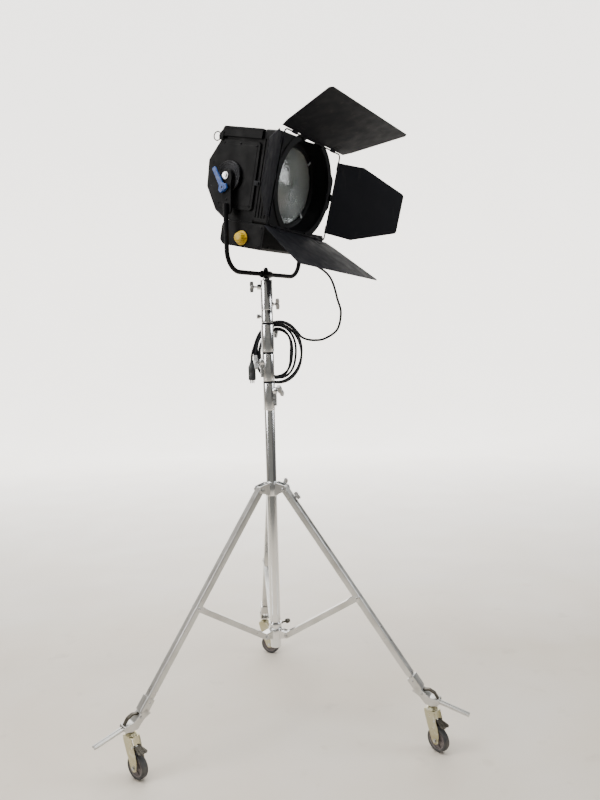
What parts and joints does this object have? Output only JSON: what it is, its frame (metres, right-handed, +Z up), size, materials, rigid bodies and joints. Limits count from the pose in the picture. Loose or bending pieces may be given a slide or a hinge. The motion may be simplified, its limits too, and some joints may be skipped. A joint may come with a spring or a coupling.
{
  "type": "fresnel spotlight",
  "caption": "Fresnel spotlight with barndoors, tilting in a yoke on a telescoping three-legged wheeled stand, with its mains cable coiled on the stand.",
  "frame": {"origin": "centre of the footprint of the stand and head on the floor, without the cord", "axes": "+Z up along the column; -Y towards the front, where the lamp head faces when panned; +X to the right"},
  "size_m": [1.4888, 1.4864, 2.5665],
  "materials": {
    "chrome_tube": "polished chrome plate",
    "chrome_leg": "duller chrome plate",
    "cast_grey": "grey cast, satin",
    "zinc_olive": "olive-gold zinc plate",
    "brake_steel": "dark oxide",
    "tyre_grey": "matte rubber",
    "black_coat": "matte black powder coat",
    "dark_steel": "blackened steel, satin",
    "leaf_black": "matte charcoal heat-proof paint",
    "lens_glass": "pressed borosilicate glass",
    "bulb_glass": "clear quartz",
    "mirror": "bright spun aluminium",
    "bright_steel": "bright zinc",
    "knob_yellow": "satin moulded",
    "lever_blue": "satin moulded",
    "cord_rubber": "matte rubber sheath",
    "plug_black": "moulded, satin"
  },
  "bodies": {
    "stand": {"base_column": "chrome_tube", "brace_spider": "chrome_tube"},
    "riser_1": {"riser_1": "chrome_tube"},
    "riser_2": {"riser_2": "chrome_tube", "cord_coil": "cord_rubber", "plug": "plug_black", "cord_free": "cord_rubber"},
    "riser_3": {"riser_3": "chrome_tube"},
    "knob_base": {"knob_base": "cast_grey"},
    "knob_riser_1": {"knob_riser_1": "cast_grey"},
    "knob_riser_2": {"knob_riser_2": "cast_grey"},
    "knob_riser_3": {"knob_riser_3": "cast_grey"},
    "knob_receiver_low": {"knob_receiver_low": "cast_grey"},
    "knob_receiver_top": {"knob_receiver_top": "cast_grey"},
    "leg_collar": {"leg_collar": "chrome_tube"},
    "knob_leg_collar": {"knob_leg_collar": "cast_grey"},
    "leg_left": {"leg_left": "chrome_leg", "foot_left": "chrome_leg"},
    "leg_back": {"leg_back": "chrome_leg", "foot_back": "chrome_leg"},
    "leg_right": {"leg_right": "chrome_leg"},
    "leg_level": {"leg_right_inner": "chrome_leg", "foot_right": "chrome_leg"},
    "knob_level": {"knob_level": "cast_grey"},
    "brace_left": {"brace_left": "chrome_leg"},
    "brace_right": {"brace_right": "chrome_leg"},
    "brace_back": {"brace_back": "chrome_leg"},
    "yoke": {"yoke": "black_coat", "spigot": "dark_steel"},
    "tilt_lever": {"tilt_lever": "lever_blue"},
    "head": {"housing_shell": "black_coat", "top_hood": "black_coat", "side_panel_near": "black_coat", "side_panel_far": "black_coat", "tilt_pivot_near": "dark_steel", "tilt_pivot_far": "dark_steel", "base_box": "black_coat", "lamp_rails": "bright_steel"},
    "lens_door": {"lens_door": "black_coat", "fresnel_lens": "lens_glass"},
    "barndoor": {"barndoor_ring": "black_coat", "wire_frame": "dark_steel"},
    "leaf_top": {"leaf_top": "leaf_black"},
    "leaf_bottom": {"leaf_bottom": "leaf_black"},
    "leaf_right": {"leaf_right": "leaf_black"},
    "leaf_left": {"leaf_left": "leaf_black"},
    "focus_knob": {"focus_knob": "knob_yellow"},
    "lamp_carriage": {"lamp_carriage": "bright_steel", "lamp": "bulb_glass", "reflector": "mirror"},
    "fork_left": {"fork_left": "zinc_olive"},
    "wheel_left": {"wheel_left": "tyre_grey"},
    "brake_left": {"brake_left": "brake_steel"},
    "fork_right": {"fork_right": "zinc_olive"},
    "wheel_right": {"wheel_right": "tyre_grey"},
    "brake_right": {"brake_right": "brake_steel"},
    "fork_back": {"fork_back": "zinc_olive"},
    "wheel_back": {"wheel_back": "tyre_grey"},
    "brake_back": {"brake_back": "brake_steel"}
  },
  "joints": [
    {"name": "riser_1_slide", "type": "slide", "parent": "stand", "child": "riser_1", "axis": [0, 0, 1], "range_m": [0, 0.62]},
    {"name": "riser_2_slide", "type": "slide", "parent": "riser_1", "child": "riser_2", "axis": [0, 0, 1], "range_m": [0, 0.6]},
    {"name": "riser_3_slide", "type": "slide", "parent": "riser_2", "child": "riser_3", "axis": [0, 0, 1], "range_m": [0, 0.56]},
    {"name": "knob_base_turn", "type": "hinge", "parent": "stand", "child": "knob_base", "pos_m": [0.00298, -0.12497, 1.47], "axis": [0.9272, -0.3746, 0], "range_deg": [0, 180]},
    {"name": "knob_riser_1_turn", "type": "hinge", "parent": "riser_1", "child": "knob_riser_1", "pos_m": [-0.07372, -0.11556, 1.594], "axis": [-0.9903, -0.1392, 0], "range_deg": [0, 180]},
    {"name": "knob_riser_2_turn", "type": "hinge", "parent": "riser_2", "child": "knob_riser_2", "pos_m": [-0.01533, -0.07467, 1.718], "axis": [0.4695, 0.8829, 0], "range_deg": [0, 180]},
    {"name": "knob_riser_3_turn", "type": "hinge", "parent": "riser_3", "child": "knob_riser_3", "pos_m": [-0.07389, -0.11417, 1.788], "axis": [-0.9945, -0.1045, 0], "range_deg": [0, 180]},
    {"name": "knob_receiver_low_turn", "type": "hinge", "parent": "riser_3", "child": "knob_receiver_low", "pos_m": [0.00551, -0.11556, 1.839], "axis": [0.9903, -0.1392, 0], "range_deg": [0, 180]},
    {"name": "knob_receiver_top_turn", "type": "hinge", "parent": "riser_3", "child": "knob_receiver_top", "pos_m": [-0.07401, -0.11278, 1.913], "axis": [-0.9976, -0.0698, 0], "range_deg": [0, 180]},
    {"name": "knob_leg_collar_turn", "type": "hinge", "parent": "leg_collar", "child": "knob_leg_collar", "pos_m": [0.00298, -0.095, 1.059], "axis": [0.9272, 0.3746, 0], "range_deg": [0, 180]},
    {"name": "collar_slide", "type": "slide", "parent": "stand", "child": "leg_collar", "axis": [0, 0, 1], "range_m": [0, 0.15]},
    {"name": "leg_left_fold", "type": "hinge", "parent": "leg_collar", "child": "leg_left", "pos_m": [-0.08508, -0.14528, 1.045], "axis": [0.5693, -0.8221, 0], "range_deg": [0, 10.6]},
    {"name": "brace_left_fold", "type": "hinge", "parent": "stand", "child": "brace_left", "pos_m": [-0.08343, -0.14414, 0.392], "axis": [0.5693, -0.8221, 0], "range_deg": [-19.32, 0]},
    {"name": "leg_right_fold", "type": "hinge", "parent": "leg_collar", "child": "leg_right", "pos_m": [0.02195, -0.13648, 1.045], "axis": [0.4274, 0.9041, 0], "range_deg": [0, 10.6]},
    {"name": "brace_right_fold", "type": "hinge", "parent": "stand", "child": "brace_right", "pos_m": [0.02014, -0.13563, 0.392], "axis": [0.4274, 0.9041, 0], "range_deg": [-19.32, 0]},
    {"name": "leg_back_fold", "type": "hinge", "parent": "leg_collar", "child": "leg_back", "pos_m": [-0.03919, -0.0482, 1.045], "axis": [-0.9966, -0.0819, 0], "range_deg": [0, 10.6]},
    {"name": "brace_back_fold", "type": "hinge", "parent": "stand", "child": "brace_back", "pos_m": [-0.03902, -0.05019, 0.392], "axis": [-0.9966, -0.0819, 0], "range_deg": [-19.32, 0]},
    {"name": "level_slide", "type": "slide", "parent": "leg_right", "child": "leg_level", "axis": [0.5363, -0.2535, -0.8051], "range_m": [0, 0.25]},
    {"name": "knob_level_turn", "type": "hinge", "parent": "leg_level", "child": "knob_level", "pos_m": [0.06654, -0.15756, 1.01178], "axis": [0.7278, -0.344, 0.5932], "range_deg": [0, 180]},
    {"name": "caster_left_swivel", "type": "hinge", "parent": "leg_left", "child": "fork_left", "pos_m": [-0.60961, -0.50848, 0.19], "axis": [0, 0, 1], "continuous": true},
    {"name": "wheel_left_spin", "type": "hinge", "parent": "fork_left", "child": "wheel_left", "pos_m": [-0.58434, -0.53123, 0.05], "axis": [0.6691, 0.7431, 0], "continuous": true},
    {"name": "brake_left_press", "type": "hinge", "parent": "fork_left", "child": "brake_left", "pos_m": [-0.58731, -0.52856, 0.13], "axis": [0.6691, 0.7431, 0], "range_deg": [0, 8]},
    {"name": "caster_right_swivel", "type": "hinge", "parent": "leg_level", "child": "fork_right", "pos_m": [0.59875, -0.40914, 0.19], "axis": [0, 0, 1], "continuous": true},
    {"name": "wheel_right_spin", "type": "hinge", "parent": "fork_right", "child": "wheel_right", "pos_m": [0.61874, -0.43665, 0.05], "axis": [0.809, 0.5878, 0], "continuous": true},
    {"name": "brake_right_press", "type": "hinge", "parent": "fork_right", "child": "brake_right", "pos_m": [0.61638, -0.43341, 0.13], "axis": [0.809, 0.5878, 0], "range_deg": [0, 8]},
    {"name": "caster_back_swivel", "type": "hinge", "parent": "leg_back", "child": "fork_back", "pos_m": [-0.09146, 0.58766, 0.19], "axis": [0, 0, 1], "continuous": true},
    {"name": "wheel_back_spin", "type": "hinge", "parent": "fork_back", "child": "wheel_back", "pos_m": [-0.0609, 0.57275, 0.05], "axis": [0.4384, 0.8988, 0], "continuous": true},
    {"name": "brake_back_press", "type": "hinge", "parent": "fork_back", "child": "brake_back", "pos_m": [-0.0645, 0.57451, 0.13], "axis": [0.4384, 0.8988, 0], "range_deg": [0, 8]},
    {"name": "pan", "type": "hinge", "parent": "riser_3", "child": "yoke", "pos_m": [-0.03411, -0.10999, 1.93], "axis": [0, 0, 1], "range_deg": [-170, 170]},
    {"name": "tilt", "type": "hinge", "parent": "yoke", "child": "head", "pos_m": [-0.03411, -0.10999, 2.335], "axis": [-0.565, -0.8251, 0], "range_deg": [-30, 90], "deforming": ["cord_free"]},
    {"name": "tilt_lever_turn", "type": "hinge", "parent": "yoke", "child": "tilt_lever", "pos_m": [-0.18901, -0.32206, 2.289], "axis": [0.565, 0.8251, 0], "range_deg": [-50, 0]},
    {"name": "lens_door_swing", "type": "hinge", "parent": "head", "child": "lens_door", "pos_m": [0.20258, 0.00548, 2.31641], "axis": [0.1786, -0.1223, 0.9763], "range_deg": [0, 80]},
    {"name": "barndoor_turn", "type": "hinge", "parent": "lens_door", "child": "barndoor", "pos_m": [0.12879, -0.22153, 2.30147], "axis": [0.8056, -0.5516, -0.2164], "continuous": true},
    {"name": "leaf_top_fold", "type": "hinge", "parent": "barndoor", "child": "leaf_top", "pos_m": [0.17469, -0.24141, 2.47675], "axis": [-0.5548, -0.8304, 0.0511], "range_deg": [-39, 62]},
    {"name": "leaf_bottom_fold", "type": "hinge", "parent": "barndoor", "child": "leaf_bottom", "pos_m": [0.09901, -0.21268, 2.12187], "axis": [0.5548, 0.8304, -0.0511], "range_deg": [-38, 58]},
    {"name": "leaf_right_fold", "type": "hinge", "parent": "barndoor", "child": "leaf_right", "pos_m": [0.01589, -0.40807, 2.31045], "axis": [-0.2079, 0.0789, -0.975], "range_deg": [-98, 29]},
    {"name": "leaf_left_fold", "type": "hinge", "parent": "barndoor", "child": "leaf_left", "pos_m": [0.2578, -0.04602, 2.28817], "axis": [0.2079, -0.0789, 0.975], "range_deg": [-86, 40]},
    {"name": "focus_knob_turn", "type": "hinge", "parent": "head", "child": "focus_knob", "pos_m": [-0.12708, -0.32508, 2.09358], "axis": [-0.565, -0.8251, 0], "range_deg": [-57, 250]},
    {"name": "lamp_focus", "type": "slide", "parent": "head", "child": "lamp_carriage", "axis": [0.8056, -0.5516, -0.2164], "range_m": [-0.0125, 0.0555]}
  ],
  "couplings": [
    {"joint": "leg_left_fold", "follows": "collar_slide", "rad_per_m": 1.231},
    {"joint": "brace_left_fold", "follows": "collar_slide", "rad_per_m": -2.2458},
    {"joint": "leg_right_fold", "follows": "collar_slide", "rad_per_m": 1.231},
    {"joint": "brace_right_fold", "follows": "collar_slide", "rad_per_m": -2.2458},
    {"joint": "leg_back_fold", "follows": "collar_slide", "rad_per_m": 1.231},
    {"joint": "brace_back_fold", "follows": "collar_slide", "rad_per_m": -2.2458},
    {"joint": "focus_knob_turn", "follows": "lamp_focus", "rad_per_m": 78.125}
  ]
}
